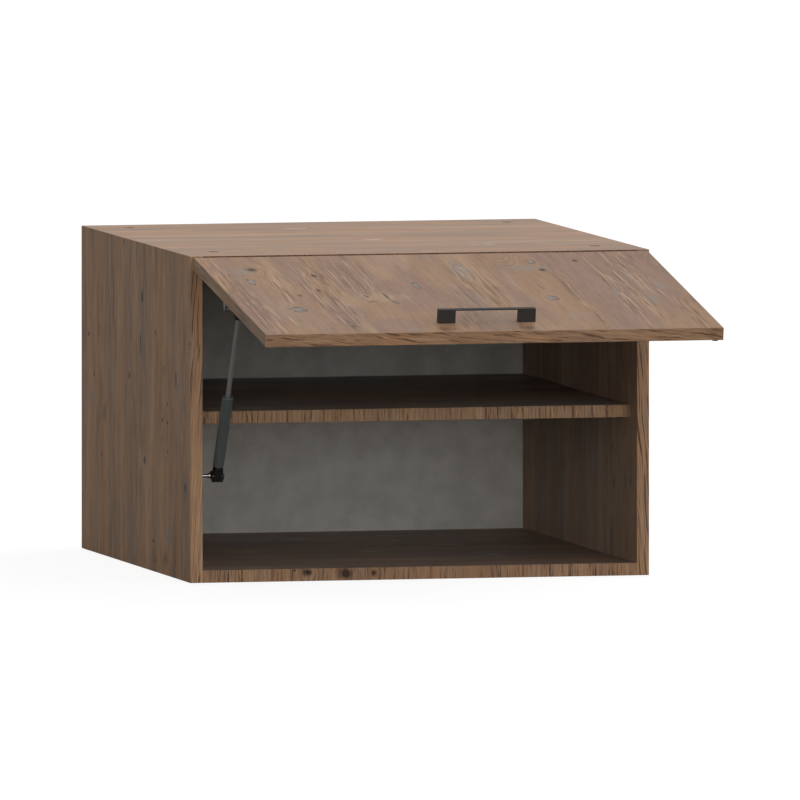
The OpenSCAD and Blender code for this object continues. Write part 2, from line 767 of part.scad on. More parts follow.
// Handle: a thin flat bar on two solid feet, drawn on the flap's outer face
module handle()
    color(black_color) on_open_flap() flap_spot(0, flap_h - handle_up)
        translate([0, -flap_t, 0]) difference() {
            rotate([90, 0, 0]) handle_blank();
            both_hands() translate([handle_foot_x, 0, 0])
                bar_y(handle_screw_d + 2 * fit, -handle_screw_grip, cut);
        }

// The handle standing on Z = 0 with its length along X
module handle_blank()
    intersection() {
        rotate([90, 0, 0]) translate([0, 0, -handle_w]) linear_extrude(2 * handle_w)
            polygon(concat(handle_half(1), [for (i = [6:-1:1]) handle_half(-1)[i]]));
        rotate([90, 0, 90]) translate([0, 0, -handle_l]) linear_extrude(2 * handle_l)
            polygon([[-handle_w / 2, 0], [handle_w / 2, 0],
                [handle_w / 2, handle_h - handle_arris],
                [handle_w / 2 - handle_arris, handle_h],
                [-handle_w / 2 + handle_arris, handle_h],
                [-handle_w / 2, handle_h - handle_arris]]);
    }

// Half of the handle's front outline, from the middle of the bar's underside outwards
function handle_half(side) = [
    [0, handle_h - bar_t],
    [side * (handle_l / 2 - foot_l - handle_arris), handle_h - bar_t],
    [side * (handle_l / 2 - foot_l), handle_h - bar_t - handle_arris],
    [side * (handle_l / 2 - foot_l), 0],
    [side * handle_l / 2, 0],
    [side * handle_l / 2, handle_h - handle_arris],
    [side * (handle_l / 2 - handle_arris), handle_h],
    [0, handle_h]];

module handle_screws()
    color(steel_color) on_open_flap() both_hands()
        flap_spot(handle_foot_x, flap_h - handle_up) rotate([-90, 0, 0])
            pan_screw(handle_screw_d, 8.5, 2.6, flap_t + handle_screw_grip - 1);

module bumpers()
    color("#d8d8d4") on_open_flap() both_hands()
        flap_spot(bumper_x, flap_h - bumper_up) bar_y(bumper_d, 0, bumper_t);

// Ball socket with its ball at the origin and its fluted neck along +Z
module socket()
    difference() {
        union() {
            intersection() {
                translate([-socket_w, 0, 0]) rotate([90, 0, 90]) linear_extrude(2 * socket_w)
                    socket_side();
                translate([0, socket_d, 0]) rotate([90, 0, 0]) linear_extrude(2 * socket_d)
                    socket_front();
            }
            translate([0, 0, neck_start])
                cylinder(d1 = neck_low_d, d2 = neck_high_d, h = neck_l - neck_start, $fn = fn_big);
        }
        sphere(d = ball_d + 2 * slack, $fn = fn_small);
        translate([-socket_w / 2 - cut, 0, 0]) rotate([0, 90, 0])
            cylinder(d1 = mouth_out_d, d2 = mouth_in_d, h = socket_w / 2 + cut - mouth_wall,
                $fn = fn_small);
        for (level = [0:rib_count - 1], face = [-1, 1])
            translate([rib_side, face * socket_d / 2, rib_top - level * rib_pitch])
                cube([socket_w - rib_short, rib_cut, rib_w], center = true);
        for (turn = [0:flute_step:360 - flute_step]) rotate([0, 0, turn + flute_step / 2])
            translate([tube_d / 2 + flute_off, 0, neck_l / 2 + neck_start])
                rotate([0, -flute_rake, 0])
                    cube([flute_cut, flute_w, neck_l - flute_short], center = true);
        bar_z(rod_d, neck_l - thread_l, neck_l + cut);
    }

// Outline of the socket seen along X, round at its closed end
module socket_side() {
    half = socket_d / 2 - socket_corner;
    for (side = [-1, 1], z = [-socket_cap + socket_corner, socket_corner])
        translate([side * half, z]) circle(r = socket_corner, $fn = fn_small);
    translate([-half, -socket_cap]) square([2 * half, socket_cap + 2 * socket_corner]);
    translate([-socket_d / 2, -socket_cap + socket_corner]) square([socket_d, socket_cap]);
}

// Outline of the socket seen from the front, drawn in at its closed end
module socket_front()
    polygon([[-socket_w / 2, -socket_waist], [-socket_w / 2 + socket_draw_open, -socket_cap],
        [socket_w / 2 - socket_draw_shut, -socket_cap], [socket_w / 2, -socket_waist],
        [socket_w / 2, socket_shoulder - socket_bevel_h],
        [socket_w / 2 - socket_bevel, socket_shoulder],
        [-socket_w / 2 + socket_bevel, socket_shoulder],
        [-socket_w / 2, socket_shoulder - socket_bevel_h]]);

module strut_lower_socket()
    color(black_color) on_strut() socket();

// Steel tube with a threaded end below and a rolled lip round the rod above
module strut_tube()
    color("#3d4340") on_strut() difference() {
        union() {
            bar_z(tube_d, neck_l + tube_bevel, neck_l + tube_l - tube_bevel, fn_big);
            translate([0, 0, neck_l])
                cylinder(d1 = tube_d - 2 * tube_bevel, d2 = tube_d, h = tube_bevel, $fn = fn_big);
            translate([0, 0, neck_l + tube_l - tube_bevel])
                cylinder(d1 = tube_d, d2 = tube_d - 2 * tube_bevel, h = tube_bevel, $fn = fn_big);
            bar_z(rod_d - 2 * fit, neck_l - thread_l + thread_end_gap, neck_l + tube_bevel);
        }
        bar_z(tube_bore_d, neck_l + tube_floor, neck_l + tube_l - tube_lip, fn_big);
        bar_z(rod_d + 2 * rod_room, neck_l + tube_floor, neck_l + tube_l + cut, fn_big);
    }

module strut_seal()
    color("#1d1c1b") on_strut() difference() {
        bar_z(tube_bore_d - 2 * fit, neck_l + tube_l - tube_lip - seal_l,
            neck_l + tube_l - tube_lip, fn_big);
        bar_z(rod_d + 2 * fit, neck_l, neck_l + tube_l + cut, fn_big);
    }

module strut_rod()
    color("#7c7c7a") on_strut() {
        bar_z(rod_d, piston_z, strut_l - neck_l, fn_big);
        bar_z(rod_d - 2 * fit, strut_l - neck_l - 1,
            strut_l - neck_l + thread_l - thread_end_gap, fn_big);
    }

module strut_piston()
    color(steel_color) on_strut() difference() {
        bar_z(tube_bore_d - 2 * slack, piston_z, piston_z + piston_t, fn_big);
        bar_z(rod_d + 2 * fit, piston_z - cut, piston_z + piston_t + cut, fn_big);
    }

module strut_upper_socket()
    color(black_color) on_strut() translate([0, 0, strut_l]) mirror([0, 0, 1]) socket();

// The upper stud turns with the rod and ends just short of the flap's bracket
module strut_upper_stud()
    color(steel_color) on_strut() translate([0, 0, strut_l])
        ball_stud(flap_leg_x + bracket_t + free - strut_x);

side_left();
side_right();
top_panel();
bottom_panel();
shelf();
back_panel();
side_left_edging();
side_right_edging();
top_edging();
bottom_edging();
shelf_edging();
top_cams();
bottom_cams();
cam_bolts();
dowels();
shelf_pins();
back_screws();
hanger_housings();
hanger_hooks();
hanger_adjusters();
hanger_screws();
hinge_plates();
hinge_plate_screws();
hinge_arms();
hinge_arm_screws();
strut_side_plate();
strut_side_screws();
strut_lower_stud();
flap_panel();
flap_side_edging();
flap_long_edging();
hinge_cups();
hinge_cup_screws();
hinge_pins();
strut_flap_bracket();
strut_flap_screws();
handle();
handle_screws();
bumpers();
strut_lower_socket();
strut_tube();
strut_seal();
strut_rod();
strut_piston();
strut_upper_socket();
strut_upper_stud();
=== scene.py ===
# Looks of the flap door cabinet: old wood decor boards, a black bridge handle and a gas strut.
# Places are in metres, in the part's own frame: X right, Y to the wall, Z up.
import json
import math

import bpy
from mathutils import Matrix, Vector

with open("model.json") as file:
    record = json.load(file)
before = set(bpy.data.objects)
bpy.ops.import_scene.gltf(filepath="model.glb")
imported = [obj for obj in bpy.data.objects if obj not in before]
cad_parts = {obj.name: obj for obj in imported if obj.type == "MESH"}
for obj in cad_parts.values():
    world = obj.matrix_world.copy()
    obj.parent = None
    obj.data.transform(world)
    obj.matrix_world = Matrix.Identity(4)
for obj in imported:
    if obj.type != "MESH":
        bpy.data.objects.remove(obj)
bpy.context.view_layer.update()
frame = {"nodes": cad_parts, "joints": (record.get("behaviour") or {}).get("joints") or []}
nodes = frame["nodes"]
mm = 0.001

# Camera: a very long lens from far away, because the photo is close to a parallel projection
view = {"azimuth": -13.295, "elevation": 3.994, "lens": 1650, "sensor": 36, "distance": 46.834,
        "aim": (0.0142, -0.4557, 0.2167), "near": 1, "far": 120}


def towards(azimuth, elevation):
    a, e = math.radians(azimuth), math.radians(elevation)
    return Vector((math.sin(a) * math.cos(e), -math.cos(a) * math.cos(e), math.sin(e)))


def makeCamera():
    lens = bpy.data.cameras.new("photoLens")
    lens.lens, lens.sensor_width = view["lens"], view["sensor"]
    lens.clip_start, lens.clip_end = view["near"], view["far"]
    camera = bpy.data.objects.new("photoCamera", lens)
    back = towards(view["azimuth"], view["elevation"])
    camera.location = Vector(view["aim"]) + back * view["distance"]
    camera.rotation_mode = "QUATERNION"
    camera.rotation_quaternion = (-back).to_track_quat("-Z", "Y")
    bpy.context.scene.collection.objects.link(camera)
    bpy.context.scene.camera = camera


makeCamera()
print("camera placed")


# Shader maths: Val wraps a socket, and its operators add Math nodes
class Val:
    def __init__(self, paint, socket):
        self.paint, self.socket = paint, socket

    def __add__(self, other):
        return self.paint.maths("ADD", self, other)

    def __sub__(self, other):
        return self.paint.maths("SUBTRACT", self, other)

    def __rsub__(self, other):
        return self.paint.maths("SUBTRACT", other, self)

    def __mul__(self, other):
        return self.paint.maths("MULTIPLY", self, other)

    __radd__, __rmul__ = __add__, __mul__


# The node tree of a material or of the world
class Tree:
    def __init__(self, block):
        block.use_nodes = True
        self.tree = block.node_tree
        self.tree.nodes.clear()

    def feed(self, socket, value):
        if isinstance(value, Val):
            self.tree.links.new(value.socket, socket)
        else:
            socket.default_value = value

    # Any node: its settings are set first, then its sockets
    def node(self, kind, settings=None, inputs=None, output=0):
        made = self.tree.nodes.new(kind)
        for name, value in (settings or {}).items():
            setattr(made, name, value)
        for name, value in (inputs or {}).items():
            self.feed(made.inputs[name], value)
        return None if output is None else Val(self, made.outputs[output])

    def maths(self, operation, *values):
        return self.node("ShaderNodeMath", {"operation": operation}, dict(enumerate(values)))

    def vector(self, operation, *values, output=0):
        return self.node("ShaderNodeVectorMath", {"operation": operation}, dict(enumerate(values)), output)

    def dot(self, place, direction):
        return self.vector("DOT_PRODUCT", place, tuple(direction), output="Value")

    def scaled(self, colour, amount):  # a colour made lighter or darker
        return self.node("ShaderNodeVectorMath", {"operation": "SCALE"},
                         {"Vector": colour, "Scale": amount})

    def join(self, x, y, z):
        return self.node("ShaderNodeCombineXYZ", None, {"X": x, "Y": y, "Z": z})

    def mix(self, factor, low, high):
        return self.node("ShaderNodeMix", {"data_type": "RGBA"}, {0: factor, 6: low, 7: high}, 2)

    def step(self, value, low, high):  # 0 below low, 1 above high, smooth between them
        return self.node("ShaderNodeMapRange", {"interpolation_type": "SMOOTHSTEP"},
                         {"Value": value, "From Min": low, "From Max": high})

    def noise(self, place, scale=1.0, detail=2.0, rough=0.5):  # from 0 to 1, mostly near 0.5
        return self.node("ShaderNodeTexNoise", None,
                         {"Vector": place, "Scale": scale, "Detail": detail, "Roughness": rough}, "Fac")

    def place(self):
        return self.node("ShaderNodeTexCoord", None, None, "Object")

    def facing(self):  # which way the surface looks, in the object's own space
        return self.node("ShaderNodeTexCoord", None, None, "Normal")

    def bump(self, height, depth, strength=1.0):
        return self.node("ShaderNodeBump", None,
                         {"Height": height, "Distance": depth, "Strength": strength}, "Normal")


# One material around a Principled shader; fixed holds the constants of the shader's own sockets
class Paint(Tree):
    def __init__(self, name, fixed):
        self.material = bpy.data.materials.new(name)
        super().__init__(self.material)
        self.shader = self.node("ShaderNodeBsdfPrincipled", None, fixed, "BSDF")
        self.node("ShaderNodeOutputMaterial", None, {"Surface": self.shader}, None)

    def set(self, values):
        for name, value in values.items():
            self.feed(self.shader.socket.node.inputs[name], value)


# The curve between display colours and light, which is straight for the darkest colours
display = {"steps": 255, "toe": 0.055, "power": 2.4, "straightTo": 10, "straight": 3295}


def tone(red, green, blue):  # an 8-bit display colour as a linear one
    def linear(c):
        if c <= display["straightTo"]:
            return c / display["straight"]
        return ((c / display["steps"] + display["toe"]) / (1 + display["toe"])) ** display["power"]

    return tuple(linear(c) for c in (red, green, blue)) + (1.0,)


def dress(name, paint):
    slots = nodes[name].data.materials
    for i in range(max(1, len(slots))):
        if i < len(slots):
            slots[i] = paint.material
        else:
            slots.append(paint.material)


# Old wood decor, in a board's own space: across the grain, along it, and out of the board.
# A size is how many streaks a metre takes, across and along the grain. An edge is where a mark starts and
# where it is full. The plain values are strengths: how far a mark covers, or how much a tone swings.
# Of fibreIn and lineIn, the first value is what a patch adds, and the second is what shows everywhere.
# The cast of a look scales every tint of its board. Boards of one decor get different casts: partly their
# own tone, partly painted light and shade for how much light each board takes.
oldWood = {
    "tan": tone(174, 140, 110), "mauve": tone(154, 131, 116), "pale": tone(196, 168, 142),
    "line": tone(104, 80, 64), "crack": tone(52, 41, 35), "ring": tone(104, 90, 82),
    "rim": tone(80, 68, 62), "core": tone(146, 142, 147), "haze": tone(150, 146, 144),
    "fleck": tone(212, 205, 196), "castAndLight": (1.0, 1.0, 1.0),
    "wander": 0.016, "wanderSize": (5, 1.8),  # how far the grain strays, in metres
    "zone": 0.9, "zoneSize": (11, 2.4), "zoneEdge": (0.40, 0.62),
    "glow": 0.5, "glowSize": (19, 2.6), "glowEdge": (0.50, 0.72),
    "wash": 0.7, "washEdge": (1.15, 0.80), "washStray": (2.0, 0.8),
    "band": 0.35, "bandSize": (60, 3.4), "fibre": 0.5, "fibreSize": (420, 12), "fibreIn": (0.9, 0.55),
    "mottle": 0.3, "mottleSize": (110, 40), "patchSize": (14, 2.2), "patchEdge": (0.46, 0.60),
    "combStray": 1.6, "combEdge": (1.15, 0.75),
    "hazes": 0.35, "hazeSize": (24, 7), "hazeEdge": (0.56, 0.70),
    "lines": 0.36, "lineSize": (360, 8), "lineEdge": (0.54, 0.62), "lineIn": (0.92, 0.10),
    "hairs": 0.45, "hairSize": (340, 8), "hairEdge": (0.62, 0.70),
    "scratches": 0.45, "scratchSize": (320, 8), "scratchEdge": (0.56, 0.66),
    "ragged": 1.5, "raggedSize": (210, 130), "softRagged": 0.8, "streaky": 2.4, "streakySize": (150, 16),
    "brokenSize": (90, 60), "brokenEdge": (0.36, 0.50), "bend": 0.7, "bendEdge": (4.0, 0.6),
    "archStray": (2.6, 1.2), "archEdge": (0.34, 0.06), "archRim": (1.0, 0.6), "archHeart": (0.1, 0.4),
    "splitRagged": 1.5, "splitTaper": 3.2, "fibreHeight": 0.4, "knotEdge": (1.2, 0.8),
    "depth": 0.0002, "relief": 0.7, "rough": 0.5, "roughSwing": 0.2, "shine": 0.25}
# The noise under each of these: its shift from the others, its detail and its roughness
woodNoise = {"wander": (3.7, 2, 0.5), "ragged": (5.9, 3, 0.6), "streaky": (7.3, 2, 0.6),
             "broken": (9.1, 2, 0.5), "zone": (11.1, 3, 0.55), "glow": (17.7, 2, 0.5),
             "band": (23.3, 3, 0.6), "fibre": (29.9, 3, 0.6), "haze": (31.3, 3, 0.6),
             "patch": (37.1, 1, 0.5), "line": (41.9, 2, 0.6), "hair": (47.3, 2, 0.5),
             "scratch": (53.9, 2, 0.5), "mottle": (71.3, 3, 0.65)}
# Marks and splits as layers, each from an outer to an inner reach, with its strength and its tint
markLayers = {
    "grey": ((2.4, 0.8, 0.20, "pale"), (1.70, 1.15, 0.65, "rim"), (1.20, 0.80, 0.78, "core"),
             (0.55, 0.1, 0.30, "fleck")),
    "dark": ((2.2, 0.9, 0.35, "line"), (1.2, 0.6, 0.88, "crack")),
    "dot": ((1.3, 0.6, 0.88, "crack"),),
    "teal": ((2.0, 0.9, 0.40, "haze"), (1.15, 0.55, 0.80, "crack"), (0.5, 0.1, 0.5, "ring")),
    "smear": ((1.5, 0.5, 0.55, "haze"),),
    "shade": ((1.5, 0.4, 0.45, "ring"),),
    "halo": ((1.4, 0.2, 0.55, "pale"),),
    # brown marks draw brown knots, and under the handle's feet painted shadow of the handle
    "brown": ((1.4, 0.3, 0.70, "line"),)}
splitLayers = {"dark": ((3.4, 1.2, 0.25, "pale"), (1.2, 0.4, 0.75, "crack")),
               "faint": ((1.4, 0.4, 0.55, "ring"),), "pale": ((1.2, 0.4, 0.6, "fleck"),)}
bends = ("grey", "dark", "teal")  # the grain runs round these
firm = bends + ("dot",)  # and the outline of these isn't drawn out along the grain
turnEdge = (0.4, 0.6)  # how far a face has turned to a direction when it counts as looking that way


def boardSpace(paint, grain, face, origin):
    grainWay, faceWay = Vector(grain).normalized(), Vector(face).normalized()
    place = paint.vector("SUBTRACT", paint.place(), tuple(origin))
    return paint.join(*(paint.dot(place, way) for way in (faceWay.cross(grainWay), grainWay, faceWay)))


# The colour, the height and the roughness of a wood face
def woodFace(paint, spot, look, seed, knots=(), arches=(), splits=(), combs=(), washes=()):
    wood = {**oldWood, **look}
    hue = {part: tuple(c * k for c, k in zip(wood[part], wood["castAndLight"] + (1.0,)))
           for part in ("tan", "mauve", "pale", "line", "crack", "ring", "rim", "core", "haze", "fleck")}

    def field(space, name):
        across, along = wood[name + "Size"]
        shift, detail, rough = woodNoise[name]
        moved = paint.vector("MULTIPLY_ADD", space, (across, along, across), (shift, seed + shift, seed))
        return paint.noise(moved, detail=detail, rough=rough)

    def reachFrom(space, x, down, wide, tall):  # 0 at the middle of an oval, 1 on its rim
        offset = paint.vector("SUBTRACT", space, (x, down, 0.0))
        oval = paint.vector("MULTIPLY", offset, (1 / wide, 1 / tall, 0.0))
        return offset, paint.vector("LENGTH", oval, output="Value")

    # The grain wanders slowly, and bends round each knot
    stray = (field(spot, "wander") - 0.5) * wood["wander"]
    board = paint.vector("ADD", spot, paint.join(stray, 0.0, 0.0))
    ragged = (field(spot, "ragged") - 0.5) * wood["ragged"]
    streaky = (field(spot, "streaky") - 0.5) * wood["streaky"]
    broken = paint.step(field(spot, "broken"), *wood["brokenEdge"])
    marks = []
    for x, down, wide, tall, kind in knots:
        offset, reach = reachFrom(spot, x, down, wide, tall)
        outline = ragged if kind in firm else ragged * wood["softRagged"] + streaky
        marks.append((reach + outline, kind))
        if kind in bends:
            push = paint.vector("MULTIPLY", offset, (-1.0, 0.0, 0.0))
            push = paint.scaled(push, paint.step(reach, *wood["bendEdge"]) * wood["bend"])
            board = paint.vector("ADD", board, push)

    # Tone: soft zones of tan and grey, paler wood, then bands and fibres
    zones = field(board, "zone")
    colour = paint.mix(paint.step(zones, *wood["zoneEdge"]) * wood["zone"], hue["tan"], hue["mauve"])
    glows = paint.step(field(board, "glow"), *wood["glowEdge"])
    colour = paint.mix(glows * wood["glow"], colour, hue["pale"])
    bands = field(board, "band")
    fibres = field(board, "fibre")
    zoneStray, bandStray = wood["washStray"]
    for *oval, tint in washes:  # zones of one tint that have their place
        reach = reachFrom(board, *oval)[1] + (zones - 0.5) * zoneStray + (bands - 0.5) * bandStray
        colour = paint.mix(paint.step(reach, *wood["washEdge"]) * wood["wash"], colour, hue[tint])
    mottle = field(board, "mottle")
    patch = paint.step(field(board, "patch"), *wood["patchEdge"])
    for comb in combs:  # places where the grain lines stand out
        reach = reachFrom(board, *comb)[1] + (bands - 0.5) * wood["combStray"]
        patch = paint.maths("MAXIMUM", patch, paint.step(reach, *wood["combEdge"]))
    inPatch, everywhere = wood["fibreIn"]
    shade = (bands - 0.5) * wood["band"] + (mottle - 0.5) * wood["mottle"] + 1.0
    shade = (fibres - 0.5) * (patch * inPatch + everywhere) * wood["fibre"] + shade
    colour = paint.scaled(colour, shade)
    hazes = paint.step(field(board, "haze"), *wood["hazeEdge"])
    colour = paint.mix(hazes * wood["hazes"], colour, hue["haze"])

    # Grain lines in patches, with dark hairs and pale scratches beside them
    inPatch, everywhere = wood["lineIn"]
    lines = paint.step(field(board, "line"), *wood["lineEdge"]) * (patch * inPatch + everywhere)
    colour = paint.mix(lines * wood["lines"], colour, hue["line"])
    if wood["hairs"]:
        hairs = paint.step(field(board, "hair"), *wood["hairEdge"]) * patch
        colour = paint.mix(hairs * wood["hairs"], colour, hue["crack"])
    if wood["scratches"]:
        scratches = paint.step(field(board, "scratch"), *wood["scratchEdge"]) * patch
        colour = paint.mix(scratches * wood["scratches"], colour, hue["pale"])
    height = fibres * wood["fibreHeight"] - lines

    # Cathedral figure: nested arches round a slow ridge
    waveStray, rimStray = wood["archStray"]
    for *oval, rings, strength in arches:
        reach = reachFrom(board, *oval)[1]
        wave = paint.maths("ABSOLUTE", paint.maths("FRACT", reach * rings + bands * waveStray) - 0.5)
        rim = paint.step(reach + (bands - 0.5) * rimStray, *wood["archRim"])
        fade = rim * paint.step(reach, *wood["archHeart"])
        colour = paint.mix(paint.step(wave, *wood["archEdge"]) * fade * strength, colour, hue["line"])

    for reach, kind in marks:
        for outer, inner, strength, tint in markLayers[kind]:
            cover = paint.step(reach, outer, inner) * strength
            colour = paint.mix(cover * broken if tint == "rim" else cover, colour, hue[tint])
        if kind in bends:
            height = height - paint.step(reach, *wood["knotEdge"])

    # Splits taper towards both ends; dark ones have a pale lip
    for x, down, toX, toDown, wide, kind in splits:
        start, run = Vector((x, down, 0)), Vector((toX - x, toDown - down, 0))
        offset = paint.vector("SUBTRACT", spot, tuple(start))
        share = paint.node("ShaderNodeMath", {"operation": "MULTIPLY", "use_clamp": True},
                           {0: paint.dot(offset, run), 1: 1 / run.length_squared})
        aside = paint.vector("SUBTRACT", offset, paint.scaled(tuple(run), share))
        gap = paint.vector("LENGTH", paint.vector("MULTIPLY", aside, (1.0, 1.0, 0.0)), output="Value")
        fromMiddle = share - 0.5
        gap = gap * (1 / wide) + ragged * wood["splitRagged"] + fromMiddle * fromMiddle * wood["splitTaper"]
        for outer, inner, strength, tint in splitLayers[kind]:
            colour = paint.mix(paint.step(gap, outer, inner) * strength, colour, hue[tint])
    return colour, height, wood["rough"] + (0.5 - fibres) * wood["roughSwing"]


def decor(name, grain, face, look, origin=(0, 0, 0), ends=None, seed=0.0, **marks):
    wood = {**oldWood, **look}
    paint = Paint(name, {"Specular IOR Level": wood["shine"]})
    colour, height, rough = woodFace(paint, boardSpace(paint, grain, face, origin), look, seed, **marks)
    if ends:  # the board's ends show the face of the board beside them
        onEnd = paint.step(paint.maths("ABSOLUTE", paint.dot(paint.facing(), grain)), *turnEdge)
        endSpace = boardSpace(paint, ends["grain"], grain, origin)
        endColour, endHeight, endRough = woodFace(paint, endSpace, ends["look"], ends["seed"])
        colour = paint.mix(onEnd, colour, endColour)
        height = height + (endHeight - height) * onEnd
        rough = rough + (endRough - rough) * onEnd
    paint.set({"Base Color": colour, "Roughness": rough,
               "Normal": paint.bump(height, wood["depth"], wood["relief"])})
    return paint


# Boards of the carcass. Their casts differ from board to board: partly the boards' own tone, partly painted
# light and shade.
sideLook = {"castAndLight": (1.13, 1.0, 0.82), "zoneSize": (20, 2.4), "band": 0.5, "bandSize": (40, 3.2),
            "fibre": 0.6, "fibreSize": (150, 7), "lines": 0.45, "lineSize": (140, 7), "hazes": 0.3,
            "hairs": 0.5, "patchEdge": (0.50, 0.62), "mottle": 0.8, "mottleSize": (90, 26)}
innerSideLook = {**sideLook, "castAndLight": (0.91, 0.97, 1.06), "zone": 0.5, "band": 0.35, "fibre": 0.4,
                 "lines": 0.25, "mottle": 0.5}
topLook = {"castAndLight": (1.33, 1.17, 1.0), "zone": 0.75, "zoneSize": (13, 4.5), "band": 0.32,
           "bandSize": (40, 6), "fibre": 0.35, "lines": 0.16, "hairs": 0.0, "scratches": 0.0,
           "hazes": 0.15, "wander": 0.04}
# Splits in mm: where from and where to, half width, kind. Each place is across and along the grain: towards
# the wall and to the right on the top and bottom board.
topSplits = ((-126, -62, -121, -34, 8, "pale"), (-114, -42, -110, -26, 5, "pale"),
             (-359, -14, -355, 14, 8, "pale"), (-348, 4, -346, 18, 5, "pale"),
             (-478, 100, -475, 114, 6, "pale"), (-482, 116, -476, 134, 7, "pale"),
             (-592, 8, -590, 30, 6, "pale"))
floorLook = {"castAndLight": (0.76, 0.82, 0.96), "lines": 0.35, "scratches": 0.7, "hazes": 0.5}
shelfLook = {**floorLook, "castAndLight": (0.80, 1.07, 1.42)}
stripLook = {"castAndLight": (1.0, 0.92, 0.80), "line": tone(78, 54, 40), "zone": 0.6, "zoneSize": (60, 5),
             "band": 0.5, "bandSize": (190, 9), "fibre": 0.8, "fibreSize": (520, 16),
             "patchEdge": (0.22, 0.40), "lines": 0.9, "lineSize": (520, 10), "hairs": 0.7,
             "scratches": 0.6, "hazes": 0.2, "wander": 0.008, "wanderSize": (22, 9)}
crossLook = {**stripLook, "zone": 0.4, "wander": 0.004, "bandSize": (150, 30), "lines": 0.75,
             "lineSize": (470, 26)}
flapSideLook = {**stripLook, "castAndLight": (1.02, 0.93, 0.80), "band": 0.3, "lines": 0.4, "fibre": 0.5}
# Marks in mm: across and up, half width, half height, kind. Across is towards the wall on the left side,
# towards the front on the right side and to the left on the bottom strip. The sides' splits go likewise.
sideMarks = ((-354, 347, 4.5, 7, "dark"), (-342, 284, 4.5, 16, "teal"), (-342, 292, 2, 9, "dot"),
             (-247, 410, 3, 4, "dot"), (-428, 306, 3, 4, "dot"), (-45, 279, 5, 3, "dot"),
             (-76, 230, 4, 3.5, "dot"), (-279, 241, 4, 4.5, "dark"), (-545, 253, 3, 12, "dot"),
             (-496, 219, 3.5, 2, "dot"), (-497, 195, 4, 2.5, "dot"), (-468, 197, 4, 3.5, "dot"),
             (-498, 159, 3, 2, "dot"), (-621, 304, 3, 2, "dot"), (-105, 290, 2, 12, "dot"),
             (-118, 130, 3, 3, "dot"), (-367, 138, 7, 6, "teal"), (-342, 140, 8, 18, "halo"),
             (-597, 119, 7, 7, "teal"), (-594, 119, 14, 20, "shade"), (-137, 183, 10, 11, "shade"),
             (-497, 50, 14, 18, "smear"), (-488, 21, 12, 8, "shade"), (-417, 39, 5, 2.5, "dot"),
             (-426, 15, 4, 2.5, "dot"), (-310, 24, 7, 10, "smear"))
sideSplits = ((-505, 272, -455, 257, 1, "faint"), (-498, 264, -462, 252, 1, "faint"),
              (-490, 184, -455, 171, 1, "faint"), (-484, 178, -460, 168, 1, "faint"),
              (-152, 196, -118, 179, 1, "faint"), (-150, 190, -124, 176, 1, "faint"),
              (-502, 28, -462, 14, 1, "faint"), (-498, 22, -468, 11, 1, "faint"),
              (-372, 402, -380, 350, 1.5, "faint"))
# Combed places in mm: across and up, half width, half height
sideCombs = ((-330, 210, 28, 190), (-180, 110, 26, 110), (-590, 200, 18, 180))
innerMarks = ((565, 119, 4, 14, "shade"), (594, 119, 2, 6, "dot"), (503, 110, 3, 8, "dot"),
              (498, 157, 2, 5, "dot"), (557, 176, 2, 4, "dot"), (489, 38, 9, 24, "shade"),
              (540, 300, 10, 30, "shade"))
innerSplits = ((556, 282, 552, 236, 1.8, "dark"), (470, 330, 466, 250, 1.6, "dark"),
               (575, 60, 572, 8, 1.6, "faint"))
bottomMarks = ((164, 14, 2, 1.5, "dot"), (148, 11, 6, 4.5, "brown"), (147, 11, 4.5, 3.5, "dark"),
               (97, 9, 10, 7, "brown"), (97, 9, 6, 5, "dark"), (61, 9, 3.5, 4, "dark"))
floorSplits = ((-127, -62, -124, -24, 11, "pale"), (-361, -16, -359, 12, 12, "pale"),
               (-333, -178, -330, -140, 9, "pale"), (-260, 104, -257, 150, 9, "pale"),
               (-180, 60, -178, 84, 8, "pale"), (-440, 130, -438, 152, 8, "pale"))
# Front strips: name of the paint, way of the grain, look, cast (tone with painted light and shade), seed,
# marks
strips = {
    # The left strip is painted lighter than the right one: painted light against the shade of the open
    # flap.
    "side_left_edging": ("leftStrip", (0.07, 0, 1), stripLook, (1.10, 1.02, 0.92), 13.1, ()),
    "side_right_edging": ("rightStrip", (-0.06, 0, 1), stripLook, (1.01, 0.92, 0.79), 15.9, ()),
    # The top lip is painted dark: painted shade of the gap between the top board and the flap.
    "top_edging": ("topLipPaintedShade", (0, 0, 1), crossLook, (0.42, 0.30, 0.21), 17.7, ()),
    "shelf_edging": ("shelfStrip", (0, 0, 1), crossLook, (0.90, 0.84, 0.72), 23.9, ()),
    "bottom_edging": ("bottomStrip", (0, 0, 1), crossLook, (0.84, 0.75, 0.64), 20.8, bottomMarks)}
markSizes, splitSizes = 4, 5  # how many values of a mark or of a split are millimetres


def inMetres(marks, sizes=markSizes):
    return [tuple(v * mm for v in mark[:sizes]) + mark[sizes:] for mark in marks]


def dressBoards():
    up, right, left, front = (0, 0, 1), (1, 0, 0), (-1, 0, 0), (0, -1, 0)
    topEnds = {"grain": right, "look": topLook, "seed": 2.4}  # the sides' ends look like the top board
    dress("side_left", decor("sideWoodLeft", up, left, sideLook, knots=inMetres(sideMarks),
                             combs=inMetres(sideCombs), splits=inMetres(sideSplits, splitSizes),
                             ends=topEnds, seed=1.7))
    dress("side_right", decor("sideWoodRight", up, right, innerSideLook, knots=inMetres(innerMarks),
                              splits=inMetres(innerSplits, splitSizes), ends=topEnds, seed=5.2))
    dress("top_panel", decor("topWood", right, up, topLook, splits=inMetres(topSplits, splitSizes),
                             seed=topEnds["seed"]))
    dress("bottom_panel", decor("floorWood", right, up, floorLook,
                                splits=inMetres(floorSplits, splitSizes), seed=8.8))
    dress("shelf", decor("shelfWood", right, up, shelfLook, seed=11.3))
    for name, (finish, grain, look, castAndLight, seed, marks) in strips.items():
        dress(name, decor(finish, grain, front, {**look, "castAndLight": castAndLight}, knots=inMetres(marks), seed=seed))


dressBoards()
print("carcass boards dressed")

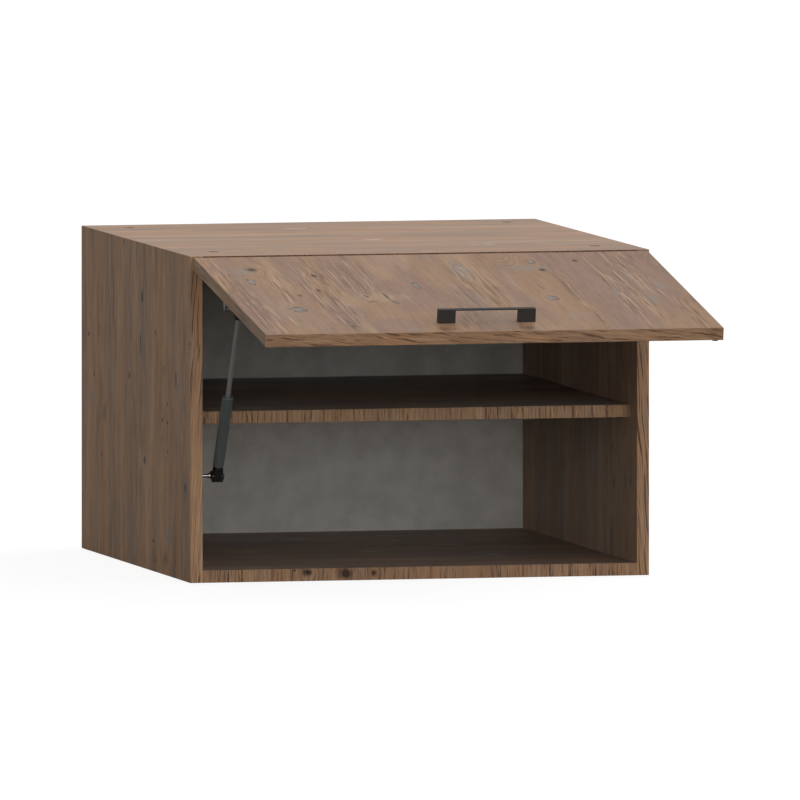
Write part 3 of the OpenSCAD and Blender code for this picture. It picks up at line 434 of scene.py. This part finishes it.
# The flap stands open by the whole travel of its joint
lift = next(j for j in frame["joints"] if j["name"] == "flap_lift")
openAngle = math.radians(-lift["range_deg"][0])
flapDown = Vector((0, -math.sin(openAngle), -math.cos(openAngle)))
flapOut = Vector((0, -math.cos(openAngle), math.sin(openAngle)))
pivot = Vector(lift["pos_m"])
flap = {"edgeToPivot": 8 * mm, "pivotToOut": 7.5 * mm,  # from the hinge pin to the upper edge, to the face
        "edgeSlant": 0.12,  # how far the grain of the long edge leans off the edge
        # Marks in mm: to the right, down from the upper edge, half width, half length, kind. The two brown
        # marks 396 mm down, under the handle's feet, are painted shadow of the handle.
        "knots": ((-252, 132, 4, 12, "grey"), (-225, 282, 8, 11, "grey"), (-45, 165, 3.5, 13, "grey"),
                  (114, 242, 6.5, 9, "grey"), (204, 215, 3, 20, "smear"), (268, 187, 5, 24, "smear"),
                  (243, 257, 6, 26, "smear"), (132, 47, 4, 10, "grey"), (31, 85, 7, 40, "smear"),
                  (29, 62, 1.2, 3, "dot"), (34, 84, 1.3, 3.5, "dot"), (28, 108, 1.1, 3, "dot"),
                  (116, 83, 26, 13, "smear"), (-238, 69, 6, 8, "dark"), (-252, 80, 12, 16, "smear"),
                  (-164, 106, 4, 5, "dark"), (-206, 209, 1.8, 4, "dark"), (-176, 183, 2, 7, "dark"),
                  (137, 93, 4, 6, "dark"), (190, 46, 3, 5, "dark"), (-174, 374, 7, 5, "brown"),
                  (-102, 395, 9, 6, "smear"), (-108, 224, 34, 22, "halo"), (-58, 396, 10, 14, "brown"),
                  (46, 396, 10, 14, "brown"), (-93, 222, 3, 14, "halo")),
        # Zones of one tint in mm: to the right, down, half width, half length, tint
        "washes": ((-193, 70, 11, 100, "mauve"), (-282, 330, 20, 110, "mauve"),
                   (-117, 110, 26, 120, "mauve"), (-170, 310, 26, 60, "mauve"),
                   (-115, 380, 30, 40, "mauve"), (-66, 215, 24, 75, "mauve"),
                   (181, 210, 24, 260, "mauve"), (10, 350, 38, 50, "mauve"), (112, 190, 30, 95, "tan"),
                   (-236, 160, 26, 80, "tan"), (-160, 130, 13, 110, "tan"), (-10, 110, 24, 90, "tan"),
                   (-240, 390, 30, 60, "tan"), (260, 380, 14, 90, "tan")),
        # Arched figure in mm: to the right, down, half width, half length, then rings and strength
        "arches": ((96, -10, 42, 130, 7.0, 0.22), (300, 60, 36, 110, 6.0, 0.22)),
        # Combed places in mm: to the right, down, half width, half length
        "combs": ((-284, 250, 22, 300), (-115, 110, 22, 150), (246, 90, 26, 150), (204, 260, 9, 180),
                  (150, 250, 7, 190), (42, 150, 22, 130), (-222, 150, 12, 90), (-165, 130, 8, 120),
                  (276, 330, 12, 90)),
        # Splits in mm: where from and where to, half width, kind
        "splits": ((-124, 209, -120, 226, 2.5, "dark"), (-98, 196, -95, 240, 2.5, "dark"),
                   (-96, 238, -88, 264, 2.1, "dark"), (-129, 250, -108, 240, 2.4, "dark"),
                   (-126, 200, -114, 206, 1.4, "faint"), (-231, -2, -211, 70, 1.3, "faint"),
                   (-211, 70, -200, 168, 1.1, "faint"), (112, 165, 116, 200, 1.0, "dark"),
                   (208, 218, 214, 262, 1.2, "pale"), (33, 66, 36, 92, 1.8, "pale"),
                   (27, 96, 29, 122, 1.6, "pale"), (212, 116, 216, 168, 1.0, "pale"),
                   (222, 150, 228, 206, 0.9, "pale"), (237, 96, 242, 150, 0.9, "pale"),
                   (247, 172, 254, 236, 1.0, "pale"), (259, 190, 264, 240, 0.9, "pale"),
                   (-262, 250, -258, 330, 1.0, "pale"), (-248, 300, -243, 372, 0.9, "pale"))}
# The flap's casts, like the carcass boards', are partly tone and partly painted light and shade.
flapLook = {"castAndLight": (1.22, 1.10, 0.98), "tan": tone(170, 139, 112), "mauve": tone(157, 131, 117),
            "zone": 0.8, "zoneSize": (20, 2.6), "zoneEdge": (0.45, 0.56), "glow": 0.6, "hazes": 0.25,
            "patchEdge": (0.55, 0.68), "lines": 0.56, "scratches": 0.9, "lineSize": (430, 13),
            "hairs": 0.3, "hairSize": (420, 11), "scratchSize": (380, 10), "fibreSize": (420, 18)}
flapStripLook = {**stripLook, "castAndLight": (0.87, 0.77, 0.67), "lines": 0.65, "lineSize": (460, 26),
                 "band": 0.45, "bandSize": (150, 26), "fibreSize": (520, 40), "hairs": 0.25,
                 "wander": 0.012, "wanderSize": (30, 14)}


def dressFlap():
    corner = pivot - flapDown * flap["edgeToPivot"] + flapOut * flap["pivotToOut"]
    marks = {kind: inMetres(flap[kind]) for kind in ("knots", "arches", "combs", "washes")}
    right = Vector((1, 0, 0))
    dress("flap_panel", decor("flapWood", flapDown, flapOut, flapLook, corner, seed=21.5,
                              splits=inMetres(flap["splits"], splitSizes), **marks))
    dress("flap_side_edging", decor("flapSideStrip", flapDown, right, flapSideLook, seed=27.3))
    dress("flap_long_edging", decor("flapLongStrip", right - flap["edgeSlant"] * flapOut, flapDown,
                                    flapStripLook, seed=29.9))


dressFlap()
print("flap dressed")

# Plain finishes: a fine mottle between two tones, a roughness that swings with it, and a slight bump
fineGrain = {"mottleDetail": 3.0, "bumpDetail": 2.0, "relief": 0.6}


def plain(name, look):
    paint = Paint(name, look["fixed"])
    place = paint.place()
    mottle = paint.noise(place, look["scale"], fineGrain["mottleDetail"])
    bumps = paint.noise(place, look["bumpScale"], fineGrain["bumpDetail"])
    paint.set({"Base Color": paint.mix(mottle, look["low"], look["high"]),
               "Roughness": look["rough"] + (mottle - 0.5) * look["roughSwing"],
               "Normal": paint.bump(bumps, look["depth"], fineGrain["relief"])})
    return paint


zinc = {"fixed": {"Metallic": 1.0}, "low": tone(186, 187, 188), "high": tone(216, 216, 214),
        "scale": 60, "rough": 0.24, "roughSwing": 0.2, "bumpScale": 900, "depth": 0.00003}
bracketSteel = {"fixed": {"Metallic": 1.0}, "low": tone(120, 120, 120), "high": tone(150, 150, 149),
                "scale": 90, "rough": 0.34, "roughSwing": 0.2, "bumpScale": 900, "depth": 0.00003}
chrome = {"fixed": {"Metallic": 1.0}, "low": tone(186, 186, 185), "high": tone(202, 202, 200),
          "scale": 80, "rough": 0.16, "roughSwing": 0.08, "bumpScale": 900, "depth": 0.00001}
handleBlack = {"fixed": {"Specular IOR Level": 0.4}, "low": tone(38, 36, 35), "high": tone(50, 47, 45),
               "scale": 180, "rough": 0.55, "roughSwing": 0.2, "bumpScale": 2600, "depth": 0.00006}
socketBlack = {"fixed": {"Specular IOR Level": 0.9}, "low": tone(8, 8, 8), "high": tone(15, 15, 15),
               "scale": 120, "rough": 0.26, "roughSwing": 0.2, "bumpScale": 1200, "depth": 0.00004}
tubePaint = {"fixed": {"Coat Weight": 0.4, "Coat Roughness": 0.2}, "low": tone(79, 87, 85),
             "high": tone(88, 96, 93), "scale": 90, "rough": 0.4, "roughSwing": 0.2, "bumpScale": 700,
             "depth": 0.00003}
rodSteel = {"fixed": {"Metallic": 0.75}, "low": tone(168, 167, 164), "high": tone(186, 184, 181),
            "scale": 200, "rough": 0.38, "roughSwing": 0.15, "bumpScale": 1500, "depth": 0.00001}
rubber = {"fixed": {}, "low": tone(26, 26, 26), "high": tone(36, 35, 34), "scale": 200, "rough": 0.7,
          "roughSwing": 0.1, "bumpScale": 900, "depth": 0.00003}
bumperSoft = {"fixed": {"Specular IOR Level": 0.6}, "low": tone(146, 128, 112),
              "high": tone(160, 142, 126), "scale": 150, "rough": 0.3, "roughSwing": 0.1,
              "bumpScale": 800, "depth": 0.00002}
hangerPlastic = {"fixed": {}, "low": tone(196, 194, 188), "high": tone(212, 210, 205), "scale": 40,
                 "rough": 0.45, "roughSwing": 0.15, "bumpScale": 1500, "depth": 0.00005}
camCast = {"fixed": {"Specular IOR Level": 0.3}, "low": tone(66, 50, 42), "high": tone(88, 68, 58),
           "scale": 300, "rough": 0.5, "roughSwing": 0.2, "bumpScale": 1500, "depth": 0.00005}
beech = {"fixed": {}, "low": tone(196, 160, 112), "high": tone(216, 184, 138), "scale": 260,
         "rough": 0.6, "roughSwing": 0.1, "bumpScale": 900, "depth": 0.00005}

# Back panel: grey-white lacquer inside, raw pressed fibre with a wire-screen print on the wall side.
# Noises are scale, detail and roughness. The lacquer is painted lighter by height: from, to and the change.
# This is painted light that rises towards the shelf in the lower compartment, against the shade under the
# shelf, and falls back to the base tone above it.
backBoard = {"front": (tone(206, 204, 197), tone(224, 222, 216)),
             "raw": (tone(118, 88, 62), tone(150, 116, 86)),
             "mottle": (26, 4.0, 0.6), "chips": (520, 2.0), "toneEdge": (0.3, 0.7),
             "base": 0.87, "paintedLightByHeight": ((0.0, 0.16, 0.42), (0.18, 0.20, -0.42)),
             "shine": 0.3, "rough": 0.45, "roughSwing": 0.2, "rawRougher": 0.25,
             "screenPitch": 0.0022, "chipHeight": 0.4, "depth": 0.00006, "relief": 0.6}


def dressBack():
    paint = Paint("backBoard", {"Specular IOR Level": backBoard["shine"]})
    place = paint.place()
    raw = 1 - paint.step(paint.dot(paint.facing(), (0, -1, 0)), *turnEdge)
    mottle = paint.noise(place, *backBoard["mottle"])
    chips = paint.noise(place, *backBoard["chips"])
    # The lacquer is painted lighter towards the shelf: painted light against the shade under it.
    lacquerWithLight = backBoard["base"]
    for low, high, change in backBoard["paintedLightByHeight"]:
        lacquerWithLight = paint.step(paint.dot(place, (0, 0, 1)), low, high) * change + lacquerWithLight
    mottled = paint.step(mottle, *backBoard["toneEdge"])
    front = paint.scaled(paint.mix(mottled, *backBoard["front"]), lacquerWithLight)
    fibre = paint.mix(paint.step(chips, *backBoard["toneEdge"]), *backBoard["raw"])
    turns = math.tau / backBoard["screenPitch"]
    screen = paint.maths("SINE", paint.dot(place, (1, 0, 0)) * turns)
    screen = screen * paint.maths("SINE", paint.dot(place, (0, 0, 1)) * turns)
    rough = raw * backBoard["rawRougher"] + (mottle * backBoard["roughSwing"] + backBoard["rough"])
    paint.set({"Base Color": paint.mix(raw, front, fibre), "Roughness": rough,
               "Normal": paint.bump(raw * screen + chips * backBoard["chipHeight"],
                                    backBoard["depth"], backBoard["relief"])})
    dress("back_panel", paint)


dressBack()
print("back panel dressed")


def dressFittings():
    finishes = {
        "zinc": (zinc, ("cam_bolts", "shelf_pins", "back_screws", "hanger_hooks", "hanger_adjusters",
                        "hanger_screws", "hinge_plates", "hinge_plate_screws", "hinge_arms",
                        "hinge_arm_screws", "strut_side_plate", "strut_side_screws", "hinge_cups",
                        "hinge_cup_screws", "hinge_pins", "handle_screws", "strut_piston")),
        "chrome": (chrome, ("strut_lower_stud", "strut_upper_stud")),
        "handleBlack": (handleBlack, ("handle",)),
        "socketBlack": (socketBlack, ("strut_lower_socket", "strut_upper_socket")),
        "tubePaint": (tubePaint, ("strut_tube",)),
        "rodSteel": (rodSteel, ("strut_rod",)),
        "rubber": (rubber, ("strut_seal",)),
        "bumperSoft": (bumperSoft, ("bumpers",)),
        "hangerPlastic": (hangerPlastic, ("hanger_housings",)),
        "camCast": (camCast, ("top_cams", "bottom_cams")),
        "beech": (beech, ("dowels",)),
        "bracketSteel": (bracketSteel, ("strut_flap_bracket", "strut_flap_screws"))}
    for name, (look, some) in finishes.items():
        paint = plain(name, look)
        for node in some:
            dress(node, paint)


dressFittings()
print("fittings dressed")

# Studio: a pale floor under a soft dome of light, which is brightest in front and to the right.
# The floor looks paler than it shines back, so that its glow doesn't flatten the shades of the sides.
studio = {"floorSeen": (0.28, 0.28, 0.28, 1), "floorGlow": 0.88, "floorBounce": tone(150, 149, 147),
          "floorHalf": 16.0, "floorDrop": 0.0006,
          "seen": 1.0,  # what the camera sees of the dome
          # Way, sharpness and strength of each soft light
          "lobes": (((0, 0, 1), 6, 0.324), ((0, -1, 0.10), 12, 2.60), ((-0.7, -1, 0.1), 6, 1.056),
                    ((1, 0, 0), 2, 2.18), ((0, 1, 0), 2, 0.89))}
white = (1, 1, 1, 1)


def makeStudio():
    scene = bpy.context.scene
    scene.view_settings.view_transform = "Standard"
    scene.world = bpy.data.worlds.new("surround")
    dome = Tree(scene.world)
    way = dome.node("ShaderNodeTexCoord", None, None, "Generated")
    glow = 0.0
    for lobeWay, sharp, strength in studio["lobes"]:
        facing = dome.maths("MAXIMUM", dome.dot(way, Vector(lobeWay).normalized()), 0.0)
        glow = dome.maths("POWER", facing, sharp) * strength + glow
    lit = dome.node("ShaderNodeBackground", None, {"Color": white, "Strength": glow})
    seen = dome.node("ShaderNodeBackground", None, {"Color": white, "Strength": studio["seen"]})
    toEye = dome.node("ShaderNodeLightPath", None, None, "Is Camera Ray")
    both = dome.node("ShaderNodeMixShader", None, {0: toEye, 1: lit, 2: seen})
    dome.node("ShaderNodeOutputWorld", None, {"Surface": both}, None)

    half, low = studio["floorHalf"], -studio["floorDrop"]
    mesh = bpy.data.meshes.new("floor")
    corners = [(-half, -half, low), (half, -half, low), (half, half, low), (-half, half, low)]
    mesh.from_pydata(corners, [], [(0, 1, 2, 3)])
    floor = bpy.data.objects.new("floor", mesh)
    scene.collection.objects.link(floor)
    material = bpy.data.materials.new("floorPaint")
    paint = Tree(material)
    toEye = paint.node("ShaderNodeLightPath", None, None, "Is Camera Ray")
    shaded = paint.node("ShaderNodeBsdfDiffuse", None, {"Color": studio["floorSeen"]})
    glowing = paint.node("ShaderNodeEmission", None, {"Color": white, "Strength": studio["floorGlow"]})
    pale = paint.node("ShaderNodeAddShader", None, {0: shaded, 1: glowing})
    dim = paint.node("ShaderNodeBsdfDiffuse", None, {"Color": studio["floorBounce"]})
    both = paint.node("ShaderNodeMixShader", None, {0: toEye, 1: dim, 2: pale})
    paint.node("ShaderNodeOutputMaterial", None, {"Surface": both}, None)
    mesh.materials.append(material)


makeStudio()
print("studio ready")
